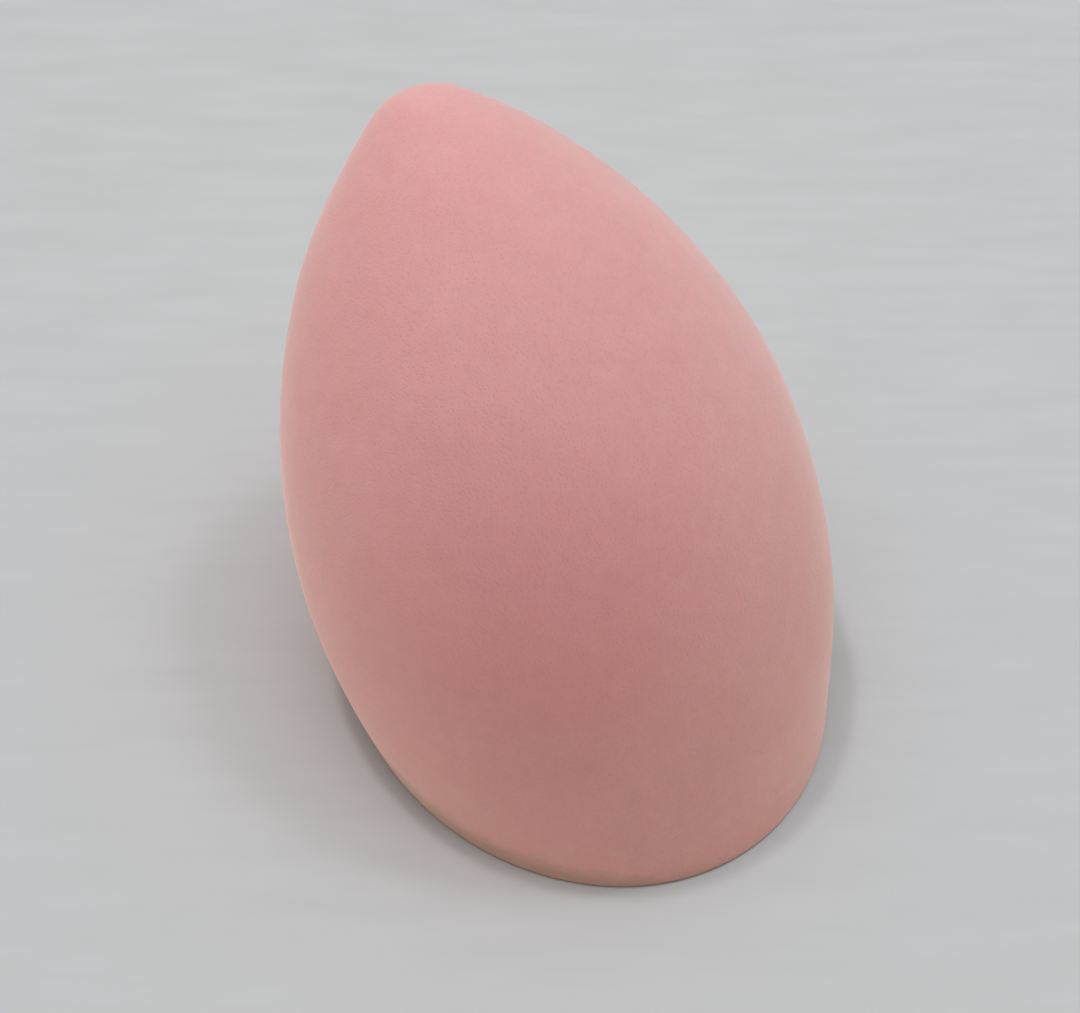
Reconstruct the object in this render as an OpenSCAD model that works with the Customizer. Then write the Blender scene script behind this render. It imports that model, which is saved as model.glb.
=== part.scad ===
// Makeup sponge: a teardrop of moulded foam that stands on a flat face cut slantwise across its heel.
// The origin is where the sponge's own axis meets the flat face. +Z points up from that face, and the
// tip leans towards -X.

/* [Teardrop] */
// Diameter at the widest section
body_d = 40; // [36:1:44]
// Distance from the widest section to the end of the tip
tip_len = 35.5; // [32:0.5:40]
// Radius of the rounded tip
tip_r = 5.7; // [4:0.1:8]
// Distance from the widest section to the end of the heel, before the flat face is cut
heel_len = 32.5; // [30:0.5:38]
// Radius of the rounded heel, before the flat face is cut
heel_r = 15; // [10:0.5:17]

/* [Flat face] */
// Lean of the sponge's axis from upright, in degrees, when it stands on the flat face
cut_lean = 34.5; // [20:0.5:45]
// Distance along the axis from the widest section to the flat face
cut_drop = 15; // [10:0.5:20]

/* [Skin] */
// Thickness of the dense moulded skin over the open foam
skin_t = 0.6; // [0.3:0.1:1.2]

/* [Hidden] */
body_r = body_d / 2;
tip_z = tip_len - tip_r;
heel_z = heel_len - heel_r;

// Radius of the side arc that leaves the widest section square to it and runs smoothly into a round
// end of radius end_r, centred end_z away along the axis
function side_r(end_z, end_r) = (end_z * end_z + body_r * body_r - end_r * end_r) / (2 * (body_r - end_r));

// Longer than the sponge in any direction, for the half space above the flat face
reach = body_d + tip_len + heel_len;

$fn = 180;

// Half of the lengthwise section, from the widest section up to one round end, drawn in by inset
module end_section(end_z, end_r, inset) {
    side = side_r(end_z, end_r);
    join_angle = atan2(end_z, side - body_r);
    join_z = end_z + (end_r - inset) * sin(join_angle);
    intersection() {
        translate([body_r - side, 0]) circle(r = side - inset);
        square([body_r, join_z]);
    }
    intersection() {
        translate([0, end_z]) circle(r = end_r - inset);
        translate([0, join_z]) square([end_r, end_r]);
    }
}

// Half of the whole lengthwise section, tip up, with the widest section at height zero
module section(inset) {
    end_section(tip_z, tip_r, inset);
    mirror([0, 1]) end_section(heel_z, heel_r, inset);
}

// Spins a lengthwise section round the axis, leans it and cuts it flat where it stands
module stood_on_flat() {
    intersection() {
        rotate([0, -cut_lean, 0]) translate([0, 0, cut_drop]) rotate_extrude() children();
        translate([-reach, -reach, 0]) cube([2 * reach, 2 * reach, reach]);
    }
}

// Open-cell foam, which shows at the flat face
module foam_core() {
    color([0.88, 0.69, 0.67]) stood_on_flat() section(skin_t);
}

// Dense velvety skin over the whole curved surface, open where the flat face cuts it
module moulded_skin() {
    color([0.86, 0.62, 0.61]) stood_on_flat() difference() {
        section(0);
        section(skin_t);
    }
}

foam_core();
moulded_skin();
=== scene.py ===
import math

import bpy
import numpy as np
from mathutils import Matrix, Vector, noise


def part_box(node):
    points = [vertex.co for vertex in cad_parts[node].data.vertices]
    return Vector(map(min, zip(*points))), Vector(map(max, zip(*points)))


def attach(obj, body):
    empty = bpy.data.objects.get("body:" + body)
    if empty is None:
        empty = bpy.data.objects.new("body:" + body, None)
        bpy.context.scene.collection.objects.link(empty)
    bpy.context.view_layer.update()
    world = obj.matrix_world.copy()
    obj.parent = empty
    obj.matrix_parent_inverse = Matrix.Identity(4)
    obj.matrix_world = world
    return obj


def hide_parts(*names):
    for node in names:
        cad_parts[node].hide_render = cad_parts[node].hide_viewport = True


# Makeup sponge: a teardrop of moulded foam that stands on a flat face cut slantwise across its heel.
# The sponge's own axis leans towards -X and meets the flat face at the origin.

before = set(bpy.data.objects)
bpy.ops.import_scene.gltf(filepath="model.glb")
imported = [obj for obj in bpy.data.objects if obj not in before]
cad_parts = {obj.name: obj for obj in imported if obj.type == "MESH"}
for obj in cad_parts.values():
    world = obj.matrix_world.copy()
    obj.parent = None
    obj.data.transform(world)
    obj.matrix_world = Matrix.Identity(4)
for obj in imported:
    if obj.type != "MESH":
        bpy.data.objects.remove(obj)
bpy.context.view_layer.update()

# Every length is in metres, so a size in millimetres is written as a number times MM
MM = 0.001

# Sizes of the solids
skin_low, skin_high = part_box("moulded_skin")
BODY_R = (skin_high[1] - skin_low[1]) / 2
TIP_LEN = 35.5 * MM
TIP_R = 5.7 * MM
HEEL_LEN = 32.5 * MM
HEEL_R = 15 * MM
CUT_LEAN = math.radians(34.5)
CUT_DROP = 15 * MM
SKIN_T = 0.6 * MM
# Middle of the flat face
FACE_CENTRE = np.array([-4.0, 0.0]) * MM

# Slight sideways bow of the axis, at its middle
BOW = 0.23 * MM
# The foot of the side spreads and slips under the sponge's weight: how far in X and Y, and how high up
FLARE = np.array([0.62, 0.30]) * MM
SLIP = np.array([-0.1, 0.15]) * MM
FLARE_UP = 7 * MM
# The edge of the foot is tucked under on one side: how far, how high up and the way that side faces
TUCK = 0.15 * MM
TUCK_UP = 0.5 * MM
TUCK_WAY = np.array([0.956, -0.292])
# How far up the side the corner of the flat face is rounded
EDGE_UP = 0.3 * MM
# Clearance between the foam core and the skin round it
CORE_GAP = 0.02 * MM
# Gap under the sponge that keeps the floor off its flat face
FLOOR_DROP = 0.02 * MM

# Mesh counts of the skin: columns round the axis, rows down the outside, over the edge and up inside
SKIN_COLUMNS = 432
SKIN_ROWS = 190
EDGE_ROWS = 8
INSIDE_ROWS = 40
# Mesh counts of the core
CORE_COLUMNS = 640
CORE_ROWS = 24
# A round patch of squares has as many columns round it as its square grid has along its four sides
GRID_SIDES = 4
# Distance from the tip's end at which the columns give way to such a patch
CAP_TRAVEL = 8 * MM
# Halvings in the search for the place where a column meets the flat face
BISECTIONS = 40

# Relief of the skin: height and size of each kind
LUMP_H = 0.12 * MM
LUMP_SIZE = 11 * MM
MOTTLE_H = 0.018 * MM
MOTTLE_SIZE = 1.5 * MM
WRINKLE_H = 0.035 * MM
WRINKLE_LONG = 2.6 * MM
WRINKLE_SHORT = 0.8 * MM
# How much a wrinkle wavers, the seed of that, and how sharp its crease is
WRINKLE_WAVER = 0.5
WRINKLE_SEED = 1
WRINKLE_SHARPNESS = 4
# Wrinkles keep to patches: the size of a patch, and how much more of the skin they take than half
PATCH_SIZE = 13 * MM
PATCH_EXTRA = 0.25
# Height above the rounded edge over which the relief fades in
RELIEF_FADE = 2.5 * MM

# Open cells of the cut face: size, depth and steepness of their sides
CELL_SIZE = 0.75 * MM
CELL_DEPTH = 0.18 * MM
CELL_STEEPNESS = 2

# Camera, found by fitting the sponge's outline and its contact line to the photograph
VIEW_AZIMUTH = 58.55
VIEW_ELEVATION = 51.5
VIEW_DISTANCE = 160 * MM
VIEW_AIM = Vector((-7.16, -2.41, 18.43)) * MM
# The lens and the width of its sensor, in millimetres, and the nearest distance that the camera sees
LENS = 72.33
SENSOR = 36.0
CLIP_START = 10 * MM


def side_radius(end_up, end_r):
    """Radius of the side arc that runs from the widest section into a round end."""
    return (end_up ** 2 + BODY_R ** 2 - end_r ** 2) / (2 * (BODY_R - end_r))


TIP_UP = TIP_LEN - TIP_R
HEEL_UP = HEEL_LEN - HEEL_R
FLANK_R = side_radius(TIP_UP, TIP_R)
LOWER_R = side_radius(HEEL_UP, HEEL_R)
# The rise of a place is the angle at which its surface faces up from square to the axis
TIP_RISE = math.atan2(TIP_UP, FLANK_R - BODY_R)
HEEL_RISE = -math.atan2(HEEL_UP, LOWER_R - BODY_R)
# Rises and distances from the tip's end at which one arc gives way to the next
BEND_RISES = np.array([math.pi / 2, TIP_RISE, 0, HEEL_RISE])
BEND_TRAVELS = np.concatenate([[0], np.cumsum(-np.diff(BEND_RISES) * [TIP_R, FLANK_R, LOWER_R])])


def rise_at(travel):
    return np.interp(travel, BEND_TRAVELS, BEND_RISES)


def travel_at(rise):
    return np.interp(-rise, -BEND_RISES, BEND_TRAVELS)


def profile(rise, inset=0.0):
    """Distance from the axis and place along it of a surface that lies inset below the outer one."""
    on_tip = rise > TIP_RISE
    above = rise > 0
    radius = np.where(on_tip, TIP_R, np.where(above, FLANK_R, LOWER_R))
    centre_out = np.where(on_tip, 0, BODY_R - radius)
    centre_up = np.where(on_tip, TIP_UP, 0)
    radius = radius - inset
    return centre_out + radius * np.cos(rise), centre_up + radius * np.sin(rise)


def axis_frame(rise, turn, inset=0.0):
    """Points in the sponge's own frame, whose Z is its axis, and the directions that they face."""
    out, up = profile(rise, inset)
    rise, turn = np.broadcast_arrays(rise, turn)
    points = np.stack([out * np.cos(turn), out * np.sin(turn), up], axis=-1)
    level = np.cos(rise)
    facing = np.stack([level * np.cos(turn), level * np.sin(turn), np.sin(rise)], axis=-1)
    return points, facing


def stand(points):
    """Bows points of the sponge's own frame, leans them and stands them on the soft foot."""
    x, y, z = points[..., 0], points[..., 1], points[..., 2] + CUT_DROP
    share = z / (TIP_LEN + CUT_DROP)
    # The bow is an arch that comes to 1 at the middle
    y = y + BOW * 4 * share * (1 - share)
    lean_cos, lean_sin = math.cos(CUT_LEAN), math.sin(CUT_LEAN)
    stood = np.stack([x * lean_cos - z * lean_sin, y, x * lean_sin + z * lean_cos], axis=-1)
    foot = np.clip(1 - stood[..., 2:] / FLARE_UP, 0, 1) ** 2
    tuck = np.clip(1 - stood[..., 2:] / TUCK_UP, 0, 1) ** 2
    outward = (stood[..., :2] - FACE_CENTRE) / BODY_R
    facing = np.clip(outward @ TUCK_WAY, 0, 1)[..., None] ** 2
    stood[..., :2] += outward * (FLARE * foot - TUCK * tuck * facing) + SLIP * foot
    return stood


def surface(rise, turn, inset=0.0):
    """Points of the standing sponge's surface, or of one that lies inset below it."""
    return stand(axis_frame(rise, turn, inset)[0])


def rim_rise(turn, inset=0.0):
    """The rise at which each column meets the flat face."""
    low = np.full_like(turn, HEEL_RISE)
    high = np.full_like(turn, TIP_RISE)
    for _ in range(BISECTIONS):
        middle = (low + high) / 2
        above = surface(middle, turn, inset)[..., 2] > 0
        high = np.where(above, middle, high)
        low = np.where(above, low, middle)
    return high


def turns(columns):
    return np.arange(columns) * math.tau / columns


def disc_grid(cells):
    """A square grid drawn onto a disc: each point's share of the radius, and its turn."""
    side = np.linspace(-1, 1, cells + 1)
    across, along = np.meshgrid(side, side)
    wide = np.abs(across) > np.abs(along)
    reach = np.where(wide, across, along)
    other = np.where(wide, along, across)
    lean = math.pi / 4 * np.divide(other, reach, out=np.zeros_like(other), where=reach != 0)
    turn = np.where(wide, lean, math.pi / 2 - lean) + np.where(reach < 0, math.pi, 0)
    return np.abs(reach), turn


def grid_index(cells):
    return np.arange((cells + 1) ** 2).reshape(cells + 1, cells + 1)


def disc_border(cells):
    """Indexes of the disc grid's border points, in the order of their turns."""
    index = grid_index(cells)
    loop = np.concatenate([index[:-1, -1], index[-1, :0:-1], index[:0:-1, 0], index[0, :-1]])
    return np.roll(loop, -(cells // 2))


def disc_faces(cells):
    index = grid_index(cells)
    corners = [index[:-1, :-1], index[:-1, 1:], index[1:, 1:], index[1:, :-1]]
    return np.stack([corner.ravel() for corner in corners], axis=-1)


class Shell:
    """Gathers points and faces into one closed mesh."""

    def __init__(self):
        self.points = []
        self.faces = []
        self.count = 0

    def add(self, points):
        """Adds points and returns their indexes."""
        points = points.reshape(-1, 3)
        index = np.arange(self.count, self.count + len(points))
        self.points.append(points)
        self.count += len(points)
        return index

    def belt(self, upper, lower):
        """Adds squares between two rings, facing out where upper lies above lower on the outside."""
        corners = [upper, lower, np.roll(lower, -1), np.roll(upper, -1)]
        self.faces.append(np.stack(corners, axis=-1))

    def rows(self, ring, count, place, upward=False):
        """Adds count rings on from ring, where place puts each share of the way. Returns the last."""
        for share in np.linspace(0, 1, count + 1)[1:]:
            new = self.add(place(share))
            if upward:
                self.belt(new, ring)
            else:
                self.belt(ring, new)
            ring = new
        return ring

    def disc(self, points, cells, flip=False):
        """Adds a disc grid and returns the indexes of its border."""
        index = self.add(points)
        faces = index[disc_faces(cells)]
        self.faces.append(faces[:, ::-1] if flip else faces)
        return index[disc_border(cells)]

    def build(self, name):
        mesh = bpy.data.meshes.new(name)
        points = np.concatenate(self.points)
        faces = np.concatenate(self.faces)
        mesh.from_pydata(points.tolist(), [], faces.tolist())
        mesh.polygons.foreach_set("use_smooth", np.ones(len(faces), dtype=bool))
        mesh.update()
        piece = bpy.data.objects.new(name, mesh)
        bpy.context.scene.collection.objects.link(piece)
        return piece


def skin_relief(point):
    """Height of the skin's relief at a point of the sponge's own frame."""
    lumps = noise.noise(point / LUMP_SIZE)
    mottle = noise.noise(point / MOTTLE_SIZE)
    drawn = Vector((point.x / WRINKLE_LONG, point.y / WRINKLE_LONG, point.z / WRINKLE_SHORT))
    crease = 1 - abs(noise.noise(drawn + noise.noise_vector(drawn) * WRINKLE_WAVER))
    patch = max(0.0, noise.noise(point / PATCH_SIZE) + PATCH_EXTRA)
    wrinkles = WRINKLE_H * patch * crease ** WRINKLE_SHARPNESS
    return LUMP_H * lumps + MOTTLE_H * mottle - wrinkles


def relieved(rise, turn, fade):
    """Points of the outer surface with the skin's relief, scaled by fade."""
    points, facing = axis_frame(rise, turn)
    heights = np.array([skin_relief(Vector(point)) for point in points.reshape(-1, 3)])
    return stand(points + facing * (heights.reshape(fade.shape) * fade)[..., None])


def make_skin():
    """The moulded skin: a closed shell with relief outside and a rounded edge at the flat face."""
    # Without a seed, noise_vector takes its offsets from the clock
    noise.seed_set(WRINKLE_SEED)
    cells = SKIN_COLUMNS // GRID_SIDES
    turn = turns(SKIN_COLUMNS)
    reach, cap_turn = disc_grid(cells)
    rim = rim_rise(turn)
    inner_rim = rim_rise(turn, SKIN_T)
    edge_travel = travel_at(rim) - EDGE_UP
    inner_travel = travel_at(inner_rim)
    start = surface(rise_at(edge_travel), turn)
    corner = surface(rim, turn)
    end = surface(inner_rim, turn, SKIN_T)

    def outside(share):
        # The rows lie closer together towards the foot
        closer = share * (3 - share) / 2
        travel = CAP_TRAVEL + closer * (edge_travel - CAP_TRAVEL)
        fade = np.clip((edge_travel - travel) / RELIEF_FADE, 0, 1)
        return relieved(rise_at(travel), turn, fade)

    def over_the_edge(share):
        return start * (1 - share) ** 2 + corner * 2 * share * (1 - share) + end * share ** 2

    def inside(share):
        travel = inner_travel + share * (CAP_TRAVEL - inner_travel)
        return surface(rise_at(travel), turn, SKIN_T)

    shell = Shell()
    cap = relieved(rise_at(reach * CAP_TRAVEL), cap_turn, np.ones_like(reach))
    ring = shell.disc(cap, cells)
    ring = shell.rows(ring, SKIN_ROWS, outside)
    ring = shell.rows(ring, EDGE_ROWS, over_the_edge)
    ring = shell.rows(ring, INSIDE_ROWS, inside)
    inner_cap = surface(rise_at(reach * CAP_TRAVEL), cap_turn, SKIN_T)
    shell.belt(ring, shell.disc(inner_cap, cells, flip=True))
    return shell.build("velvet_skin")


def cell_pit(point):
    """Depth of the cut face's open cells at a point."""
    near, next_near = noise.voronoi(point / CELL_SIZE)[0][:2]
    return CELL_DEPTH * min(1.0, CELL_STEEPNESS * (next_near - near))


def cut_face(border, reach):
    """The flat face inside its border, with the pits of its open cells."""
    low, high = border.min(axis=(0, 1)), border.max(axis=(0, 1))
    centre = (low + high) / 2
    face = centre + (border - centre) * reach[..., None]
    depth = np.array([cell_pit(Vector(point)) for point in face.reshape(-1, 3)])
    face[..., 2] = np.where(reach < 1, depth.reshape(reach.shape), 0)
    return face


def make_core():
    """The open-cell foam core, with its cut cells on the flat face."""
    cells = CORE_COLUMNS // GRID_SIDES
    turn = turns(CORE_COLUMNS)
    inset = SKIN_T + CORE_GAP
    reach, face_turn = disc_grid(cells)
    rise = rim_rise(face_turn.ravel(), inset).reshape(face_turn.shape)
    rim_travel = travel_at(rim_rise(turn, inset))

    def side(share):
        travel = rim_travel + share * (CAP_TRAVEL - rim_travel)
        return surface(rise_at(travel), turn, inset)

    shell = Shell()
    ring = shell.disc(cut_face(surface(rise, face_turn, inset), reach), cells, flip=True)
    ring = shell.rows(ring, CORE_ROWS, side, upward=True)
    cap = surface(rise_at(reach * CAP_TRAVEL), face_turn, inset)
    shell.belt(shell.disc(cap, cells), ring)
    return shell.build("open_foam")


def toward(azimuth, elevation):
    """The way to a place round the sponge, in degrees: azimuth 0 is at -Y and 90 at +X."""
    azimuth, elevation = math.radians(azimuth), math.radians(elevation)
    level = math.cos(elevation)
    return Vector((math.sin(azimuth) * level, -math.cos(azimuth) * level, math.sin(elevation)))


def aim(thing, place, target):
    thing.location = place
    thing.rotation_euler = (Vector(target) - Vector(place)).to_track_quat("-Z", "Y").to_euler()


def make_camera():
    data = bpy.data.cameras.new("camera")
    data.lens = LENS
    data.sensor_width = SENSOR
    data.sensor_fit = "HORIZONTAL"
    data.clip_start = CLIP_START
    camera = bpy.data.objects.new("camera", data)
    bpy.context.scene.collection.objects.link(camera)
    aim(camera, VIEW_AIM + toward(VIEW_AZIMUTH, VIEW_ELEVATION) * VIEW_DISTANCE, VIEW_AIM)
    bpy.context.scene.camera = camera


# How much each finer layer of a noise adds to it
NOISE_ROUGHNESS = 0.6


class Nodes:
    """A short way to write a node tree: each call adds a node and links its inputs."""

    def __init__(self, tree):
        self.tree = tree
        tree.nodes.clear()

    def fill(self, socket, value):
        """Links a socket from another one, or sets its value."""
        if isinstance(value, bpy.types.NodeSocket):
            self.tree.links.new(value, socket)
        else:
            socket.default_value = value

    def add(self, kind, inputs=None, **settings):
        """inputs maps a socket's name or number to a value, or to a socket to link from."""
        node = self.tree.nodes.new(kind)
        for name, value in settings.items():
            setattr(node, name, value)
        for key, value in (inputs or {}).items():
            self.fill(node.inputs[key], value)
        return node

    def ramp(self, value, low, high, to_low=0.0, to_high=1.0, shape="LINEAR"):
        """Maps value from low..high to to_low..to_high, held at the ends."""
        spans = {"Value": value, "From Min": low, "From Max": high}
        spans.update({"To Min": to_low, "To Max": to_high})
        return self.add("ShaderNodeMapRange", spans, interpolation_type=shape).outputs["Result"]

    def blend(self, factor, first, second, way="MIX"):
        node = self.add("ShaderNodeMix", data_type="RGBA", blend_type=way)
        for key, value in (("Factor", factor), ("A", first), ("B", second)):
            self.fill([s for s in node.inputs if s.name == key and s.enabled][0], value)
        return [s for s in node.outputs if s.enabled][0]

    def math(self, operation, first, second):
        inputs = {0: first, 1: second}
        return self.add("ShaderNodeMath", inputs, operation=operation).outputs["Value"]

    def vector(self, operation, first, second, output="Vector"):
        inputs = {0: first, 1: second}
        return self.add("ShaderNodeVectorMath", inputs, operation=operation).outputs[output]

    def mean(self, first, second):
        first_half = self.math("MULTIPLY", first, 0.5)
        second_half = self.math("MULTIPLY", second, 0.5)
        return self.math("ADD", first_half, second_half)

    def noise(self, place, size, detail):
        inputs = {"Vector": place, "Scale": 1 / size}
        inputs.update({"Detail": detail, "Roughness": NOISE_ROUGHNESS})
        return self.add("ShaderNodeTexNoise", inputs).outputs["Fac"]

    def cells(self, place, size, feature="F1"):
        inputs = {"Vector": place, "Scale": 1 / size}
        return self.add("ShaderNodeTexVoronoi", inputs, feature=feature).outputs["Distance"]

    def bump(self, height, strength, distance, invert=False):
        inputs = {"Height": height, "Strength": strength, "Distance": distance}
        return self.add("ShaderNodeBump", inputs, invert=invert).outputs["Normal"]

    def principled(self, inputs):
        """Adds the shader and the material's output."""
        shader = self.add("ShaderNodeBsdfPrincipled", inputs)
        self.add("ShaderNodeOutputMaterial", {"Surface": shader.outputs["BSDF"]})


def new_material(name):
    material = bpy.data.materials.new(name)
    material.use_nodes = True
    return material, Nodes(material.node_tree)


# The middle of a noise's range, narrow or wide, which a tone or a roughness runs over
NARROW = (0.35, 0.65)
WIDE = (0.3, 0.7)

# Skin: its two tones, the sizes of its blotches, mottle and nap, its roughness and its bump
SKIN_DEEP = (0.720, 0.362, 0.374, 1)
SKIN_PALE = (0.750, 0.392, 0.406, 1)
SKIN_BLOTCH = 7 * MM
SKIN_MOTTLE = 1.3 * MM
SKIN_NAP = 0.22 * MM
SKIN_ROUGHNESS = (0.84, 0.96)
SKIN_BUMP = 0.06 * MM
SKIN_BUMP_STRENGTH = 0.5
# Pores: size, the span of their sides as shares of it, and the colour and strength of the painted
# shade in them
PORE_SIZE = 0.26 * MM
PORE_SIDES = (0.10, 0.45)
PORE_SHADE = (0.636, 0.299, 0.306, 1)
PORE_SHADE_STRENGTH = 0.25
# Light that goes in below the skin: its share, its reach, and how much of that each colour has
LIGHT_INSIDE = 0.5
LIGHT_REACH = 0.8 * MM
LIGHT_COLOURS = (1.0, 0.4, 0.35)
# Painted contact shade on the lowest strip of the skin, next to the cut: its colour, strength, height
# and fade
CONTACT_SHADE_COLOUR = (0.450, 0.280, 0.215, 1)
CONTACT_SHADE_STRENGTH = 0.9
CONTACT_SHADE_UP = 1.0 * MM
CONTACT_SHADE_FADE = 2.2 * MM
# How ragged the top of the strip is, and the slanted way up that its height is measured along
CONTACT_SHADE_RAGGED = 3 * MM
CONTACT_SHADE_SLANT = (0.03, 0.12, 1)
# Painted shade on the side that faces the viewer, which also makes it a little pinker: its middle,
# reach and tint
FRONT_SHADE_PLACE = Vector((6.1, -9.0, 22.4)) * MM
FRONT_SHADE_REACH = 20 * MM
FRONT_SHADE_TINT = (0.94, 0.85, 0.85, 1)
# The skin is a little yellower towards the foot: the heights that it starts and ends at, and its tint
YELLOWER_FROM = 28 * MM
YELLOWER_TO = 5 * MM
YELLOWER_TINT = (0.955, 0.94, 0.86, 1)

# Cut foam: the painted shade of its hollows, the two tones of its walls and the size of its blotches
FOAM_HOLLOW_SHADE = (0.400, 0.180, 0.165, 1)
FOAM_PALE = (0.760, 0.440, 0.415, 1)
FOAM_PALEST = (0.820, 0.510, 0.480, 1)
FOAM_BLOTCH = 4 * MM
# Its small cells: size, the span of their sides as shares of it, roughness and bump
FOAM_CELL = 0.36 * MM
FOAM_CELL_SIDES = (0.03, 0.38)
FOAM_ROUGHNESS = (0.85, 0.97)
FOAM_BUMP = 0.14 * MM
FOAM_BUMP_STRENGTH = 0.9

# Table: its width, its two tones to the camera, and the colour of the light that it throws back
FLOOR_WIDTH = 6
FLOOR_DEEP = (0.509, 0.520, 0.548, 1)
FLOOR_PALE = (0.531, 0.542, 0.572, 1)
FLOOR_BOUNCE = (0.90, 0.90, 0.88, 1)
# Length and width of the table's faint streaks, which run across the picture
STREAK_LONG = 14 * MM
STREAK_WIDE = 2.4 * MM


def skin_colour(nodes, place, tone, pores):
    """Pink with painted shade in the pores, painted shade on the front, a yellower foot and painted
    contact shade on the lowest strip.
    """
    colour = nodes.blend(nodes.ramp(tone, *NARROW), SKIN_DEEP, SKIN_PALE)
    # The pores are darkened with painted shade
    colour = nodes.blend(nodes.ramp(pores, 0, 1, PORE_SHADE_STRENGTH, 0.0), colour, PORE_SHADE)
    # Painted shade on the side that faces the viewer
    away = nodes.vector("DISTANCE", place, FRONT_SHADE_PLACE, "Value")
    front_shade = nodes.ramp(away, 0, FRONT_SHADE_REACH, 1.0, 0.0, shape="SMOOTHSTEP")
    colour = nodes.blend(front_shade, colour, FRONT_SHADE_TINT, "MULTIPLY")
    # Yellower towards the foot
    height = nodes.add("ShaderNodeSeparateXYZ", {0: place}).outputs["Z"]
    yellower = nodes.ramp(height, YELLOWER_TO, YELLOWER_FROM, 1.0, 0.0)
    colour = nodes.blend(yellower, colour, YELLOWER_TINT, "MULTIPLY")
    # Painted contact shade on the lowest strip of the skin, beside the floor
    slanted = nodes.vector("DOT_PRODUCT", place, CONTACT_SHADE_SLANT, "Value")
    ragged = nodes.math("ADD", slanted, nodes.math("MULTIPLY", tone, CONTACT_SHADE_RAGGED))
    shade_top = CONTACT_SHADE_UP + CONTACT_SHADE_FADE
    contact_shade = nodes.ramp(ragged, CONTACT_SHADE_UP, shade_top, CONTACT_SHADE_STRENGTH, 0.0, shape="SMOOTHSTEP")
    return nodes.blend(contact_shade, colour, CONTACT_SHADE_COLOUR)


def skin_material():
    """Velvety moulded foam that lets a little light in: soft blotches, a fine nap and tiny pores."""
    material, nodes = new_material("velvet_foam")
    place = nodes.add("ShaderNodeTexCoord").outputs["Object"]
    blotch = nodes.noise(place, SKIN_BLOTCH, detail=2)
    mottle = nodes.noise(place, SKIN_MOTTLE, detail=3)
    nap = nodes.noise(place, SKIN_NAP, detail=2)
    pores = nodes.ramp(nodes.cells(place, PORE_SIZE), *PORE_SIDES)
    nodes.principled({
        "Base Color": skin_colour(nodes, place, nodes.mean(blotch, mottle), pores),
        "Roughness": nodes.ramp(mottle, *WIDE, *SKIN_ROUGHNESS),
        "Normal": nodes.bump(nodes.mean(pores, nap), SKIN_BUMP_STRENGTH, SKIN_BUMP),
        "Specular IOR Level": 0.25,
        "Subsurface Weight": LIGHT_INSIDE,
        "Subsurface Radius": LIGHT_COLOURS,
        "Subsurface Scale": LIGHT_REACH,
        "Sheen Weight": 0.30,
        "Sheen Roughness": 0.4,
    })
    return material


def foam_material():
    """Open-cell foam where a blade has cut it: pale walls round cells darkened with painted shade."""
    material, nodes = new_material("cut_foam")
    place = nodes.add("ShaderNodeTexCoord").outputs["Object"]
    from_wall = nodes.cells(place, FOAM_CELL, "DISTANCE_TO_EDGE")
    hollow = nodes.ramp(from_wall, *FOAM_CELL_SIDES)
    blotch = nodes.noise(place, FOAM_BLOTCH, detail=2)
    pale = nodes.blend(nodes.ramp(blotch, *NARROW), FOAM_PALE, FOAM_PALEST)
    nodes.principled({
        # The hollows are darkened with painted shade
        "Base Color": nodes.blend(hollow, pale, FOAM_HOLLOW_SHADE),
        "Roughness": nodes.ramp(hollow, 0, 1, *FOAM_ROUGHNESS),
        "Normal": nodes.bump(hollow, FOAM_BUMP_STRENGTH, FOAM_BUMP, invert=True),
        "Specular IOR Level": 0.2,
        "Sheen Weight": 0.15,
        "Sheen Roughness": 0.5,
    })
    return material


def floor_material():
    """A pale table with faint streaks, a little darker to the camera than the light it throws back."""
    material, nodes = new_material("pale_table")
    drawn = nodes.add("ShaderNodeMapping", {
        "Vector": nodes.add("ShaderNodeTexCoord").outputs["Object"],
        "Rotation": (0, 0, math.radians(VIEW_AZIMUTH)),
        "Scale": (STREAK_LONG, STREAK_WIDE, STREAK_LONG),
    }, vector_type="TEXTURE")
    streaks = nodes.noise(drawn.outputs["Vector"], size=1, detail=2)
    shown = nodes.blend(nodes.ramp(streaks, *WIDE), FLOOR_DEEP, FLOOR_PALE)
    seen = nodes.add("ShaderNodeLightPath").outputs["Is Camera Ray"]
    nodes.principled({
        "Base Color": nodes.blend(seen, FLOOR_BOUNCE, shown),
        "Roughness": 0.9,
        "Specular IOR Level": 0.1,
    })
    return material


def make_floor():
    bpy.ops.mesh.primitive_plane_add(size=FLOOR_WIDTH, location=(0, 0, -FLOOR_DROP))
    floor = bpy.context.object
    floor.name = "floor"
    floor.data.materials.append(floor_material())


# Distance from the sponge to its lamps
LAMP_REACH = 1.0
# Lamps: azimuth, elevation and width seen from the sponge, in degrees, share of the light and tint
LAMPS = {
    "window_lamp": (181, 66, 9, 0.100, (0.738, 0.980, 1.0)),
    "left_lamp": (281, 72, 5, 0.170, (1.0, 0.965, 0.922)),
}
# Azimuth of the picture's right-hand side
SIDE = VIEW_AZIMUTH + 90
# Broad glows of the room: azimuth, elevation, narrowness and colour
GLOWS = {
    "overhead": (0, 90, 8, (2.312, 2.312, 2.301)),
    "behind": (VIEW_AZIMUTH + 180, 60, 8, (0.069, 0.149, 0.148)),
    "right": (SIDE, 10, 8, (0.287, 0.230, 0.050)),
    "left": (SIDE + 180, 10, 8, (0.482, 0.284, 0.100)),
    "viewer_shade": (VIEW_AZIMUTH, VIEW_ELEVATION, 8, (-0.479, -0.517, -0.516)),
}
DARK = (0, 0, 0)
BACKDROP = (0.57, 0.58, 0.58, 1)


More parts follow.
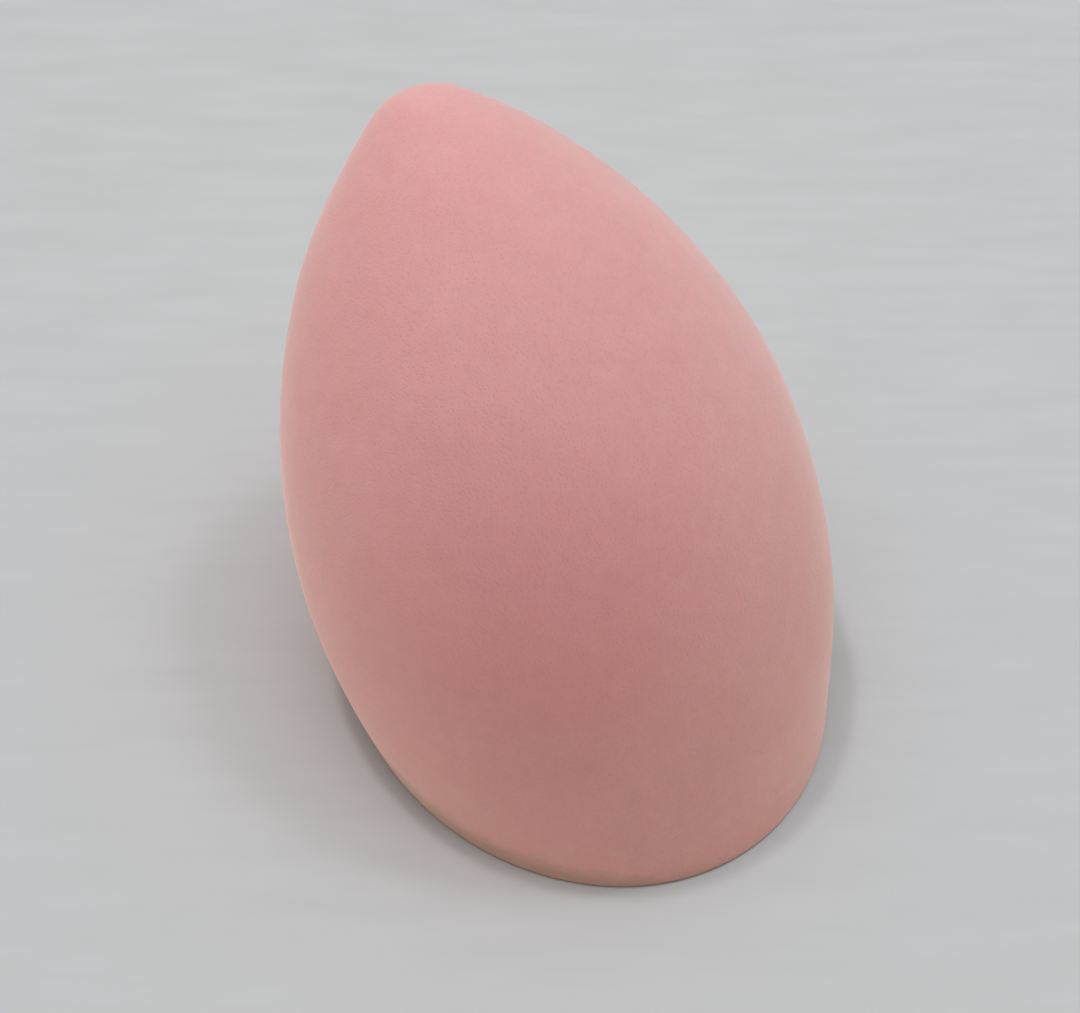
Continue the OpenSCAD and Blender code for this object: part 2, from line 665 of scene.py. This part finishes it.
def make_lamp(name, azimuth, elevation, width, share, tint):
    """A round lamp that gives that share of a white floor's full brightness."""
    way = toward(azimuth, elevation)
    data = bpy.data.lights.new(name, "AREA")
    data.shape = "DISK"
    data.size = 2 * LAMP_REACH * math.tan(math.radians(width) / 2)
    # Both the lamp and the floor spread their light over half of space, which divides it by pi
    data.energy = share * (math.pi * LAMP_REACH) ** 2 / way.z
    data.color = tint
    lamp = bpy.data.objects.new(name, data)
    bpy.context.scene.collection.objects.link(lamp)
    aim(lamp, way * LAMP_REACH, (0, 0, 0))


def make_world():
    """Soft light from all round, and a pale backdrop for the camera, gloss and glass."""
    world = bpy.data.worlds.new("studio")
    bpy.context.scene.world = world
    world.use_nodes = True
    nodes = Nodes(world.node_tree)
    way = nodes.add("ShaderNodeTexCoord").outputs["Generated"]
    light = DARK
    for azimuth, elevation, narrowness, colour in GLOWS.values():
        facing = nodes.vector("DOT_PRODUCT", way, toward(azimuth, elevation), "Value")
        share = nodes.math("POWER", nodes.ramp(facing, -1, 1), narrowness)
        glow = nodes.add("ShaderNodeVectorMath", {0: colour, "Scale": share}, operation="SCALE")
        light = nodes.vector("ADD", light, glow.outputs["Vector"])
    light = nodes.vector("MAXIMUM", light, DARK)
    lighting = nodes.add("ShaderNodeBackground", {"Color": light}).outputs["Background"]
    backdrop = nodes.add("ShaderNodeBackground", {"Color": BACKDROP}).outputs["Background"]
    path = nodes.add("ShaderNodeLightPath").outputs
    seen = nodes.math("MAXIMUM", path["Is Camera Ray"], path["Is Glossy Ray"])
    seen = nodes.math("MAXIMUM", seen, path["Is Transmission Ray"])
    mixed = nodes.add("ShaderNodeMixShader", {0: seen, 1: lighting, 2: backdrop})
    nodes.add("ShaderNodeOutputWorld", {"Surface": mixed.outputs["Shader"]})


def dress(piece, material, node):
    piece.data.materials.append(material)
    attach(piece, "root")
    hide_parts(node)


make_camera()
make_world()
make_floor()
for lamp_name, lamp_facts in LAMPS.items():
    make_lamp(lamp_name, *lamp_facts)
dress(make_skin(), skin_material(), "moulded_skin")
dress(make_core(), foam_material(), "foam_core")

bpy.context.scene.view_settings.view_transform = "Standard"
